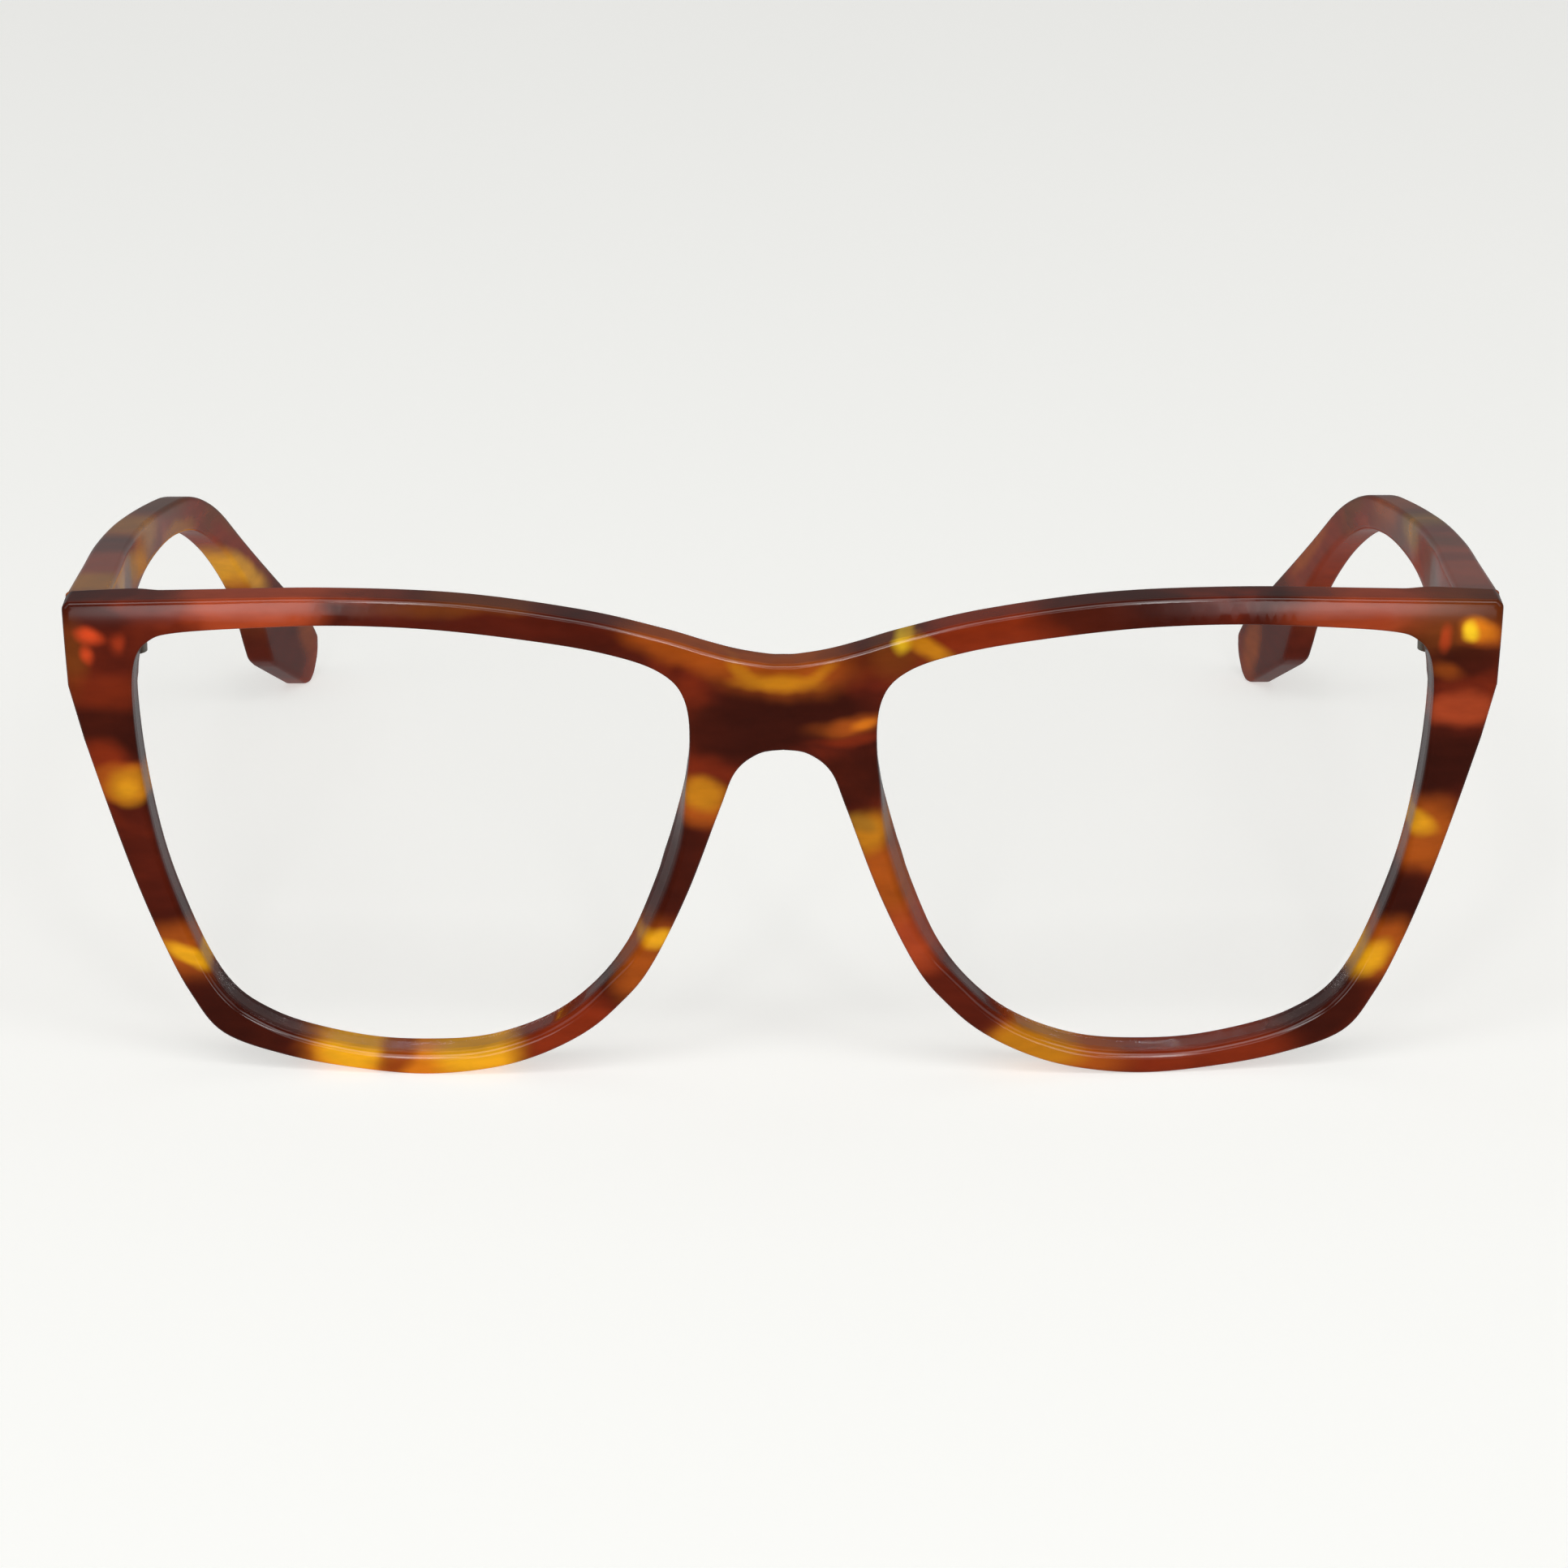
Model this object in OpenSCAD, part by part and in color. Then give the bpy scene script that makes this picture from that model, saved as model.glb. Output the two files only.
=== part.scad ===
// Full-rim acetate glasses with sprung folding temples, standing open on a table.
// Millimetres. X runs across the face, Y from the front back to the tips, Z up.
// Right and left are the wearer's: right is at -X, left is at +X.

/* [Front] */
// Width across the two end pieces
front_w = 142; // [139:1:145]
// Height of the front
front_h = 49.8; // [49:0.2:51]
// Thickness of the acetate, front to back
front_t = 4.4; // [4.2:0.1:4.6]
// Radius of the front's curve around the face
face_r = 630; // [600:10:660]

/* [Lenses] */
// Thickness of a lens
lens_t = 2; // [1.6:0.1:2.2]
// Depth of the groove that holds the lens
groove_d = 0.7; // [0.5:0.1:0.8]
// Width of the groove and of the lens's edge rib
groove_w = 1; // [0.8:0.1:1.2]

/* [Temples] */
// Thickness of a temple at its hinge end
temple_t = 4.3; // [4.2:0.1:4.5]
// Thickness of a temple at its tip
tip_t = 2.8; // [2.6:0.1:3]
// Downward slope of the straight part, degrees
slope = 9.8; // [9.4:0.2:10.2]
// Length of the straight part of the top edge
straight_run = 82; // [81:0.5:83]
// Radius of the ear bend, on the top edge
bend_r = 35; // [32:1:38]
// Angle of the ear bend, degrees
bend_deg = 29; // [28:0.5:30]
// Thickness of the steel core wire
core_t = 1.2; // [1:0.1:1.4]

/* [Hinges] */
// Outer radius of the knuckles
knuckle_r = 1.5; // [1.4:0.05:1.5]
// Height of an outer knuckle
knuckle_h = 1.5; // [1.3:0.1:1.6]
// Height of the middle eye
eye_h = 1.4; // [1.2:0.1:1.6]
// Radius of the screw's shank
shank_r = 0.65; // [0.55:0.05:0.7]
// Clearance around the shank where it turns
running_gap = 0.05; // [0.03:0.01:0.08]
// Length of the spring box
box_len = 11; // [10:0.5:12]
// Height of the spring box
box_h = 3.6; // [3.2:0.1:3.8]

/* [Hidden] */

RIGHT = -1;
LEFT = 1;

acetate = "#6b2a10";
lens_clear = [0.92, 0.94, 0.94, 0.35];
nickel_silver = "#c9c6bd";
spring_steel = "#8f9296";

curve_steps = 4;
face_sides = 1440;
round_sides = 48;

// The outlines below are drawn for this size of front and scaled to the one asked for.
drawn_w = 142;
drawn_h = 49.8;
function fitted(p) = [for (q = p) [q[0] * front_w / drawn_w, q[1] * front_h / drawn_h]];

// ---- Curves ----

function spline_point(a, b, c, d, t) =
    0.5 * (2 * b + (c - a) * t + (2 * a - 5 * b + 4 * c - d) * t * t
        + (3 * b - a - 3 * c + d) * t * t * t);

// Smooth open curve through the points
function curve(p, n = curve_steps) = let (last = len(p) - 1) [
    for (i = [0 : last - 1], k = [0 : n - 1])
        spline_point(p[max(i - 1, 0)], p[i], p[i + 1], p[min(i + 2, last)], k / n),
    p[last]
];

// Smooth closed curve through the points
function ring(p, n = curve_steps) = let (m = len(p)) [
    for (i = [0 : m - 1], k = [0 : n - 1])
        spline_point(p[(i + m - 1) % m], p[i], p[(i + 1) % m], p[(i + 2) % m], k / n)
];

// A closed anticlockwise curve moved outwards by d
function grown(p, d) = let (m = len(p)) [
    for (i = [0 : m - 1])
        let (t = p[(i + 1) % m] - p[(i + m - 1) % m])
            p[i] + d * [t[1], -t[0]] / norm(t)
];

function mirrored(p) = [for (i = [len(p) - 1 : -1 : 0]) [-p[i][0], p[i][1]]];

// ---- Front outlines, seen from in front: [x, z] ----

brow_points = [
    [0, 43.4], [1.5, 43.45], [4.5, 43.95], [7.5, 44.75], [12, 46.1], [20, 47.95], [32, 49.5],
    [45, 49.8], [58, 49.3], [70.4, 48.7]
];
end_piece_side = [[71, 48.1], [70.6, 40.1]];
rim_points = [
    [69.2, 34.6], [66.9, 27.1], [64.4, 19.5], [61.9, 13.1], [59.4, 8], [56.2, 3.9], [50, 1.7],
    [43, 0.5], [36, 0], [29.5, 0.7], [24.5, 2.2], [19.8, 4.7], [16.4, 7.7], [13.3, 11.6],
    [9.6, 19.3], [6.3, 28.3], [4.7, 32.3], [2.4, 34.2], [0, 34.6]
];
half_outline = concat(
    mirrored(curve(rim_points)), mirrored(end_piece_side), mirrored(curve(brow_points))
);
// Left half, from the brow's middle clockwise to the nose arch, and the right half back again
front_outline = fitted(concat(
    curve(brow_points), end_piece_side, curve(rim_points), half_outline
));

opening_points = fitted([
    [44, 47], [35, 46.8], [26, 45.9], [18, 44.6], [12.3, 42.7], [9.7, 39.7], [9.3, 34],
    [10.5, 26.8], [12.8, 19.1], [16.1, 12.2], [21.8, 6.3], [28.9, 3.1], [36.3, 2.3],
    [43.6, 2.8], [51.5, 5], [56.7, 9.3], [61.1, 19.5], [63.3, 29], [64.2, 38], [63.9, 42.8],
    [62.4, 45], [59.6, 45.9], [52, 46.6]
]);
opening = ring(opening_points);

// ---- Places ----

half_w = front_w / 2;
seat_y = 8.5;
seat_x = half_w - 9.5;
seat_low_z = 39.6;
butt_gap = 0.05;
butt_y = seat_y + butt_gap;
corner_z = 48.4;

pin = [half_w - 6.2, seat_y + 2.3, 44];
eye_gap = 0.1;
stack_half = knuckle_h + eye_h / 2 + eye_gap;
eye_bore_r = shank_r + running_gap;

bar_x = 1.3;
bar_r = 0.5;
box_y = 2.6;
box_half_w = 1.5;
box_wall = 0.8;
box_bore_r = 1;
bar_end_y = 10.6;
stop_y = 9.4;
stop_t = 0.6;

// Rearmost point of the tips, which sets the middle of the whole depth
rear_y = 131.3;

module place() {
    translate([0, -rear_y / 2, 0]) children();
}

// Builds the left-hand piece, or its mirror image
module on_side(side) {
    place() mirror([side < 0 ? 1 : 0, 0, 0]) children();
}

// Origin at the middle of the hinge pin
module at_pin() {
    translate(pin) children();
}

// The pin's frame tipped so that its Y axis runs down the temple
module along_temple() {
    at_pin() rotate([-slope, 0, 0]) children();
}

// A round bar along Y
module bar(r, y0, y1) {
    translate([0, y0, 0]) rotate([-90, 0, 0]) cylinder(r = r, h = y1 - y0, $fn = round_sides);
}

// A box given by its low and high corners
module block(low, high) {
    translate(low) cube(high - low);
}

// A flat front-view shape given depth from y0 to y1
module through_front(y0, y1) {
    translate([0, y1, 0]) rotate([90, 0, 0]) linear_extrude(y1 - y0) children();
}

// ---- Front, lenses and pads ----

// The curved layer between two depths behind the front's foremost line
module face_layer(y0, y1) {
    low_z = -2;
    tall = front_h + 6;
    translate([0, face_r, low_z]) difference() {
        cylinder(r = face_r - y0, h = tall, $fn = face_sides);
        translate([0, 0, -1]) cylinder(r = face_r - y1, h = tall + 2, $fn = face_sides);
    }
}

module rim_shape() {
    difference() {
        polygon(front_outline);
        polygon(opening);
        polygon(mirrored(opening));
    }
}

// Thickened back of an end piece, flat where the temple's butt meets it
module end_seat() {
    block([seat_x, front_t + 1, seat_low_z], [half_w + 1, seat_y, front_h + 1]);
}

groove_mid = front_t / 2;

// The ring-shaped rib on a lens's edge, and with spare depth the groove that it sits in
module edge_rib(spare) {
    intersection() {
        face_layer(groove_mid - groove_w / 2, groove_mid + groove_w / 2);
        through_front(-1, seat_y) polygon(grown(opening, groove_d - spare));
    }
}

module front() {
    color(acetate) place() difference() {
        intersection() {
            through_front(-1, seat_y + 4) rim_shape();
            union() {
                face_layer(0, front_t);
                end_seat();
                mirror([1, 0, 0]) end_seat();
            }
        }
        for (flip = [0, 1]) mirror([flip, 0, 0]) {
            edge_rib(0);
            hinge_base();
        }
    }
}

lens_gap = 0.05;

module lens(side) {
    color(lens_clear) on_side(side) union() {
        intersection() {
            face_layer(groove_mid - lens_t / 2, groove_mid + lens_t / 2);
            through_front(-1, seat_y) polygon(grown(opening, -lens_gap));
        }
        edge_rib(lens_gap);
    }
}

pad_mid = [9.4, 24.5];
pad_tilt = 21;
// How far each pad leans out from the nose, and how deep its root starts before it is cut flat
pad_lean = 20;
pad_root = 2;
pad_w = 2.8;
pad_len = 12;
pad_ball_r = 9;
pad_proud = 2.8;
back_r = face_r - front_t;
// Film of glue between the pad's flat face and the front's hollow back
glue = 0.01;

module pad_outline() {
    reach = pad_len / 2 - pad_w / 2;
    translate([0, pad_mid[1]]) rotate(pad_tilt) union() {
        square([pad_w, 2 * reach], center = true);
        for (end = [-1, 1]) translate([0, end * reach]) circle(r = pad_w / 2, $fn = round_sides);
    }
}

// A low dome bonded to the back of the rim beside the nose
module nose_pad(side) {
    color(acetate) on_side(side)
        translate([0, face_r, 0]) rotate(asin(pad_mid[0] / back_r)) translate([0, -back_r, 0])
            intersection() {
                rotate(-pad_lean) through_front(-pad_root, pad_proud + 1) pad_outline();
                block([-pad_len, glue, 0], [pad_len, pad_proud + 1, 2 * pad_mid[1]]);
                translate([1, pad_proud - pad_ball_r, pad_mid[1]])
                    sphere(r = pad_ball_r, $fn = 120);
            }
}

// ---- Hinge ----

base_x = [-0.5, 1.5];
base_top_y = -1.7;
base_low_y = -4.1;
peg_r = 0.7;
peg_x = 0.5;
peg_len = 1.7;

// The part of the front hinge that is sunk in the end piece
module hinge_base() {
    at_pin() {
        block([base_x[0], base_low_y, -stack_half], [base_x[1], base_top_y, stack_half]);
        translate([peg_x, 0, 0]) bar(peg_r, base_low_y - peg_len, base_low_y);
    }
}

module outer_knuckle(low_z, bore_r) {
    translate([0, 0, low_z]) difference() {
        union() {
            cylinder(r = knuckle_r, h = knuckle_h, $fn = round_sides);
            block([base_x[0], base_top_y, 0], [base_x[1], 0, knuckle_h]);
        }
        translate([0, 0, -1]) cylinder(r = bore_r, h = knuckle_h + 2, $fn = round_sides);
    }
}

module front_hinge(side) {
    color(nickel_silver) on_side(side) union() {
        hinge_base();
        at_pin() {
            outer_knuckle(eye_h / 2 + eye_gap, eye_bore_r);
            outer_knuckle(-stack_half, shank_r);
        }
    }
}

head_r = 1.2;
head_h = 0.6;
slot_w = 0.3;
slot_d = 0.3;

module hinge_screw(side) {
    color(spring_steel) on_side(side) at_pin() difference() {
        union() {
            translate([0, 0, -stack_half])
                cylinder(r = shank_r, h = 2 * stack_half, $fn = round_sides);
            translate([0, 0, stack_half]) cylinder(r = head_r, h = head_h, $fn = round_sides);
        }
        block([-2, -slot_w / 2, stack_half + head_h - slot_d], [2, slot_w / 2, stack_half + 1]);
    }
}

neck = [[-0.3, 1.2], [1.3, 0.6], [1.7, 1], [1.7, 2.4], [0.9, 2.4]];
bar_start_y = 1.4;

// Middle eye, its neck and the plunger bar that runs back into the spring box
module hinge_slider(side) {
    color(nickel_silver) on_side(side) difference() {
        union() {
            at_pin() translate([0, 0, -eye_h / 2]) {
                cylinder(r = knuckle_r, h = eye_h, $fn = round_sides);
                linear_extrude(eye_h) polygon(neck);
            }
            along_temple() translate([bar_x, 0, 0]) bar(bar_r, bar_start_y, bar_end_y);
        }
        at_pin() translate([0, 0, -eye_h])
            cylinder(r = eye_bore_r, h = 2 * eye_h, $fn = round_sides);
    }
}

stop_r = box_bore_r - 0.1;

// Ring fixed on the end of the plunger bar, which the spring pushes on
module spring_stop(side) {
    color(nickel_silver) on_side(side) along_temple() translate([bar_x, 0, 0]) difference() {
        bar(stop_r, stop_y, stop_y + stop_t);
        bar(bar_r, stop_y - 1, stop_y + stop_t + 1);
    }
}

bar_hole_r = bar_r + 0.1;

module box_outside() {
    along_temple() block(
        [bar_x - box_half_w, box_y, -box_h / 2], [bar_x + box_half_w, box_y + box_len, box_h / 2]
    );
}

module spring_box(side) {
    color(nickel_silver) on_side(side) difference() {
        box_outside();
        along_temple() translate([bar_x, 0, 0]) {
            bar(bar_hole_r, box_y - 1, box_y + 2);
            bar(box_bore_r, box_y + box_wall, box_y + box_len + 1);
        }
    }
}

wire_r = 0.13;
coil_r = 0.75;
coil_turns = 7;
coil_steps = 12;
wire_sides = 6;
coil_y0 = box_y + box_wall + wire_r;
coil_y1 = stop_y - wire_r;

// Round wire wound into an open helix
module coil() {
    rings = coil_turns * coil_steps;
    points = [
        for (i = [0 : rings], k = [0 : wire_sides - 1])
            let (
                turn = 360 * i / coil_steps,
                around = 360 * k / wire_sides,
                r = coil_r + wire_r * cos(around),
                y = coil_y0 + (coil_y1 - coil_y0) * i / rings + wire_r * sin(around)
            )
            [r * cos(turn), y, r * sin(turn)]
    ];
    walls = [
        for (i = [0 : rings - 1], k = [0 : wire_sides - 1])
            let (
                a = i * wire_sides + k,
                b = i * wire_sides + (k + 1) % wire_sides
            )
            [a, b, b + wire_sides, a + wire_sides]
    ];
    first_cap = [for (k = [wire_sides - 1 : -1 : 0]) k];
    last_cap = [for (k = [0 : wire_sides - 1]) rings * wire_sides + k];
    polyhedron(points, concat(walls, [first_cap, last_cap]));
}

module hinge_spring(side) {
    color(spring_steel) on_side(side) along_temple() translate([bar_x, 0, 0]) coil();
}

// ---- Temples ----

bend_end = slope + bend_deg;
bend_y = butt_y + straight_run * cos(slope);
bend_z = corner_z - straight_run * sin(slope);
bend_steps = 10;

// A line parallel to the top edge and d below it: the straight part, then the bend
function under_top(d) = concat(
    [[butt_y + d * tan(slope), corner_z - d / cos(slope) - d * tan(slope) * tan(slope)]],
    [
        for (i = [0 : bend_steps])
            let (a = slope + bend_deg * i / bend_steps)
            [
                bend_y + bend_r * (sin(a) - sin(slope)) - d * sin(a),
                bend_z - bend_r * (cos(slope) - cos(a)) - d * cos(a)
            ]
    ]
);

// The bend's end carried on down the tail by s
function tail_point(d, s) = let (p = under_top(d)) p[len(p) - 1] + s * [cos(bend_end), -sin(bend_end)];

tail_len = 29.4;
tip_back = [[rear_y, 5], [130.8, 2.6], [129.6, 0.7], [128.5, 0], [127.6, 0.1]];
tip_foot = [[118.7, 5.2], [117.2, 6.3]];
underside_points = [
    [116, 8.6], [114.3, 12], [111, 17.3], [104, 23.8], [96, 28.5], [87, 30.9], [75, 32.4],
    [60, 33.5], [47, 34.1], [36, 35]
];
butt_low_z = 39.65;
side_outline = concat(
    under_top(0), [tail_point(0, tail_len)], tip_back, tip_foot, curve(underside_points),
    [[butt_y, butt_low_z]]
);

// Outer face seen from above: [x, y], then thickness from the hinge end to the tip
face_points = [[0, butt_y], [0.8, 30], [1.5, 50], [1.2, 70], [-0.9, 90], [-5.6, 109], [-13, 131.5]];
outer_line = [for (p = curve(face_points)) [half_w + p[0], p[1]]];
function blade_t(y) = temple_t + (tip_t - temple_t) * (y - butt_y) / (rear_y - butt_y);

// The outer line moved inwards, by a share of the thickness and then by d
function inward(share, d) = [
    for (i = [0 : len(outer_line) - 1])
        let (
            p = outer_line[i],
            t = outer_line[min(i + 1, len(outer_line) - 1)] - outer_line[max(i - 1, 0)]
        )
        p + (share * blade_t(p[1]) + d) * [-t[1], t[0]] / norm(t)
];

function backwards(p) = [for (i = [len(p) - 1 : -1 : 0]) p[i]];

// What a side view and a top view have in common
module from_views(side_view, top_view) {
    wide = 2 * half_w;
    intersection() {
        rotate([90, 0, 90]) linear_extrude(wide) polygon(side_view);
        translate([0, 0, -1]) linear_extrude(front_h + 2) polygon(top_view);
    }
}

core_depth = 1.7;
core_start_y = 26;
core_end_s = 21;

module core_wire() {
    top = under_top(core_depth - core_t / 2);
    low = under_top(core_depth + core_t / 2);
    band = concat(
        top, [tail_point(core_depth - core_t / 2, core_end_s)],
        [tail_point(core_depth + core_t / 2, core_end_s)], backwards(low)
    );
    intersection() {
        from_views(band, concat(inward(0.5, -core_t / 2), backwards(inward(0.5, core_t / 2))));
        block([0, core_start_y, 0], [2 * half_w, rear_y, front_h]);
    }
}

module temple(side) {
    color(acetate) on_side(side) difference() {
        from_views(side_outline, concat(inward(0, 0), backwards(inward(1, 0))));
        block([0, 0, 0], [2 * half_w, butt_y, front_h]);
        core_wire();
        box_outside();
    }
}

module temple_core(side) {
    color(spring_steel) on_side(side) core_wire();
}

front();
lens(RIGHT);  // lens_right
lens(LEFT);  // lens_left
nose_pad(RIGHT);  // nose_pad_right
nose_pad(LEFT);  // nose_pad_left
front_hinge(RIGHT);  // front_hinge_right
front_hinge(LEFT);  // front_hinge_left
hinge_screw(RIGHT);  // hinge_screw_right
hinge_screw(LEFT);  // hinge_screw_left
hinge_slider(RIGHT);  // hinge_slider_right
hinge_slider(LEFT);  // hinge_slider_left
spring_stop(RIGHT);  // spring_stop_right
spring_stop(LEFT);  // spring_stop_left
spring_box(RIGHT);  // spring_box_right
spring_box(LEFT);  // spring_box_left
hinge_spring(RIGHT);  // hinge_spring_right
hinge_spring(LEFT);  // hinge_spring_left
temple(RIGHT);  // temple_right
temple(LEFT);  // temple_left
temple_core(RIGHT);  // temple_core_right
temple_core(LEFT);  // temple_core_left
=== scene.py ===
"""Folding tortoiseshell acetate glasses: the visible model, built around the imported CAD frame.

Sizes are in millimetres and are turned to metres where meshes are made. X runs across the face,
Y from the front back to the tips, Z up. The wearer's right is at -X.
"""

import logging
import math
from collections.abc import Callable, Sequence
from dataclasses import dataclass, field
from enum import Enum

import bpy
import numpy as np
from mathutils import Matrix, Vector
from mathutils.geometry import delaunay_2d_cdt


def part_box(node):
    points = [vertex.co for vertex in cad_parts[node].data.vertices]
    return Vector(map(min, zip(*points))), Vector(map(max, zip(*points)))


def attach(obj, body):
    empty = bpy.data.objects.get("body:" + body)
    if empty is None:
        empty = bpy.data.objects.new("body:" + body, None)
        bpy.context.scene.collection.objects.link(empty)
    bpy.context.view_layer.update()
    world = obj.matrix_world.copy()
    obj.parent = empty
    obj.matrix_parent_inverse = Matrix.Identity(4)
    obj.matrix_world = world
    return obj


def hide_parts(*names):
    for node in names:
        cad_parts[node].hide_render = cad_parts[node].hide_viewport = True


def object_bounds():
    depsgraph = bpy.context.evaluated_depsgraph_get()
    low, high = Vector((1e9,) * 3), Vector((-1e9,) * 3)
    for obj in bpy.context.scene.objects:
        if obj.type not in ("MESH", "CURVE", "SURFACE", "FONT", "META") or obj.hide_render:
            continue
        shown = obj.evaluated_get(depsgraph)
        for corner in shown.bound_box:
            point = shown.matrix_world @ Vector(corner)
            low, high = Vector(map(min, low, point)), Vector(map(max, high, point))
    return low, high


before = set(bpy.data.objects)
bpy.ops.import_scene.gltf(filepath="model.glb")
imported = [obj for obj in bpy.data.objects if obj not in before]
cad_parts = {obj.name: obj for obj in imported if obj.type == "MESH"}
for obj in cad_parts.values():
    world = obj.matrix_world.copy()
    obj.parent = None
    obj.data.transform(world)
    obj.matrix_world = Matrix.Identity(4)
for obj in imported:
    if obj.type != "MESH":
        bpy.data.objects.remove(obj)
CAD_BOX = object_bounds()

MM = 0.001
FRONT_LINE = CAD_BOX[0][1] / MM
LOG = logging.getLogger("glasses")
# Two points closer than this, in millimetres, are one point
TINY = 1e-4
# The Mix node's two colour inputs and its colour output
MIX_A, MIX_B, MIX_COLOUR = 6, 7, 2

Piece = bpy.types.Object
Points = np.ndarray
Depth = Callable[[Points], Points]


class Side(Enum):
    """The wearer's right or left, as the sign of X."""

    RIGHT = -1
    LEFT = 1

    @property
    def word(self) -> str:
        """The side's name in node and body names."""
        return self.name.lower()


# ---------------------------------------------------------------- outlines


def smooth(points: Sequence, closed: bool, per_span: int = 8) -> Points:
    """Runs a smooth curve through points.

    Args:
        points: (n, 2) places that the curve passes through.
        closed: whether the last point joins the first.
        per_span: samples between two points.

    Returns:
        The sampled curve, without a repeated last point when closed.
    """
    p = np.asarray(points, float)
    if closed:
        a, b, c, d = (np.roll(p, k, axis=0) for k in (1, 0, -1, -2))
    else:
        padded = np.vstack([p[:1], p, p[-1:]])
        a, b, c, d = padded[:-3], padded[1:-2], padded[2:-1], padded[3:]
    t = (np.arange(per_span) / per_span)[None, :, None]
    a, b, c, d = (q[:, None, :] for q in (a, b, c, d))
    curve = 0.5 * (2 * b + (c - a) * t + (2 * a - 5 * b + 4 * c - d) * t**2
                   + (3 * b - a - 3 * c + d) * t**3)
    curve = curve.reshape(-1, 2)
    return curve if closed else np.vstack([curve, p[-1:]])


def mirrored(p: Points) -> Points:
    """The curve's mirror image in X, run the other way."""
    return p[::-1] * (-1, 1)


def split(loop: Points, step: float) -> Points:
    """Cuts a closed curve's long sides so that none is over step, keeping its own points."""
    out = []
    for p, q in zip(loop, np.roll(loop, -1, axis=0)):
        count = max(1, math.ceil(np.linalg.norm(q - p) / step))
        out += [p + (q - p) * k / count for k in range(count)]
    return np.array(out)


def without_doubles(loop: Points) -> Points:
    """Drops points that lie on the one before."""
    gap = np.linalg.norm(loop - np.roll(loop, 1, axis=0), axis=1)
    return loop[gap > TINY]


def softened(loop: Points, radius: float, sharp_deg: float = 14, steps: int = 5,
             side_share: float = 0.4) -> Points:
    """Rounds the corners of a closed curve.

    Args:
        loop: the curve's points.
        radius: how far from each corner the rounding starts.
        sharp_deg: smallest turn that counts as a corner.
        steps: points that take a corner's place.
        side_share: most of a side that one corner's rounding may take.

    Returns:
        The curve with its corners rounded.
    """
    out = []
    for p, q, r in zip(np.roll(loop, 1, axis=0), loop, np.roll(loop, -1, axis=0)):
        into, away = q - p, r - q
        lengths = np.linalg.norm(into), np.linalg.norm(away)
        turn = math.degrees(math.acos(np.clip(into @ away / (lengths[0] * lengths[1]), -1, 1)))
        if turn < sharp_deg:
            out.append(q)
            continue
        reach = min(radius, side_share * lengths[0], side_share * lengths[1])
        start, end = q - into / lengths[0] * reach, q + away / lengths[1] * reach
        for t in np.linspace(0, 1, steps):
            out.append((1 - t) ** 2 * start + 2 * t * (1 - t) * q + t * t * end)
    return np.array(out)


def anticlockwise(loop: Points) -> Points:
    """The closed curve run anticlockwise."""
    x, y = loop.T
    return loop if np.sum(x * np.roll(y, -1) - y * np.roll(x, -1)) > 0 else loop[::-1]


def moved_in(loop: Points, distance: Points | float, side_share: float = 0.45,
             sharpest: float = 0.2) -> Points:
    """Moves a closed curve to its left.

    Args:
        loop: the curve's points.
        distance: how far each point moves.
        side_share: most of a side that a tight corner may use up.
        sharpest: squared cosine of half the turn beyond which a corner's reach stops growing.

    Returns:
        The moved curve, point for point.
    """
    into, away = loop - np.roll(loop, 1, axis=0), np.roll(loop, -1, axis=0) - loop
    lengths = np.linalg.norm(into, axis=1), np.linalg.norm(away, axis=1)
    into, away = into / lengths[0][:, None], away / lengths[1][:, None]
    left = np.stack([-(into + away)[:, 1], (into + away)[:, 0]], axis=1)
    left /= np.linalg.norm(left, axis=1)[:, None]
    half_cos = np.sqrt(np.clip((1 + np.sum(into * away, axis=1)) / 2, sharpest, 1))
    half_tan = np.sqrt(1 / half_cos**2 - 1)
    room = side_share * np.minimum(*lengths) / np.maximum(half_tan, 1e-6)
    size = np.minimum(np.abs(distance), room) * np.sign(distance)
    return loop + left * (size / half_cos)[:, None]


def inside(points: Points, loop: Points) -> Points:
    """Which points lie inside a closed curve."""
    x, y = points[:, 0][:, None], points[:, 1][:, None]
    x0, y0 = loop.T
    x1, y1 = np.roll(loop, -1, axis=0).T
    span = np.where(y1 == y0, 1e-12, y1 - y0)
    crossing = ((y0 > y) != (y1 > y)) & (x < (x1 - x0) * (y - y0) / span + x0)
    return crossing.sum(axis=1) % 2 == 1


def smoothstep(t: Points) -> Points:
    """A share of 0 to 1, eased at both ends."""
    return t * t * (3 - 2 * t)


def even(size: float) -> Depth:
    """The same size at every point of an outline."""
    return lambda p: np.full(len(p), size)


# ---------------------------------------------------------------- meshes


def new_piece(name: str, verts: Points, faces: list, sharp_deg: float = 38) -> Piece:
    """Makes a smooth-shaded object.

    Args:
        name: the piece's name.
        verts: (n, 3) places in metres, in the row frame.
        faces: vertex numbers of each face.
        sharp_deg: smallest angle between faces that stays a crisp edge.

    Returns:
        The new object, linked to the scene.
    """
    mesh = bpy.data.meshes.new(name)
    mesh.from_pydata(verts.tolist(), [], faces)
    mesh.polygons.foreach_set("use_smooth", [True] * len(mesh.polygons))
    mesh.set_sharp_from_angle(angle=math.radians(sharp_deg))
    piece = bpy.data.objects.new(name, mesh)
    bpy.context.scene.collection.objects.link(piece)
    # Large faces win over narrow rounded edges, so the flats stay flat in reflections.
    shading = piece.modifiers.new("flats_stay_flat", "WEIGHTED_NORMAL")
    shading.keep_sharp = True
    return piece


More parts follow.
